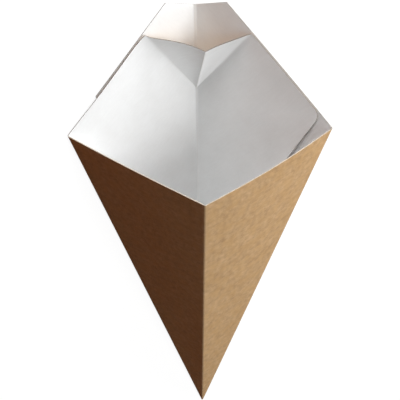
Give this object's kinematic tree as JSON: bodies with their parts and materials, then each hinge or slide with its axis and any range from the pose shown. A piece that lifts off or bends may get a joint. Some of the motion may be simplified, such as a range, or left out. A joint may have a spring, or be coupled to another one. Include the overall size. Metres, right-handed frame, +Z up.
{
  "type": "paper fry cone",
  "caption": "Folded kraft board cone for chips, white inside, lying on one back panel, with a slanted mouth, a tall back and a dip pocket popped out of the inner back.",
  "frame": {"origin": "middle of the part's footprint box, on the floor under the back left panel", "axes": "+Z up off the back left panel, -Y out of the mouth, +Y towards the tip"},
  "size_m": [0.1034, 0.2576, 0.0744],
  "materials": {
    "board": "matte kraft outside, matt white inside"
  },
  "bodies": {
    "root": {"fry_cone": "board"}
  },
  "joints": []
}
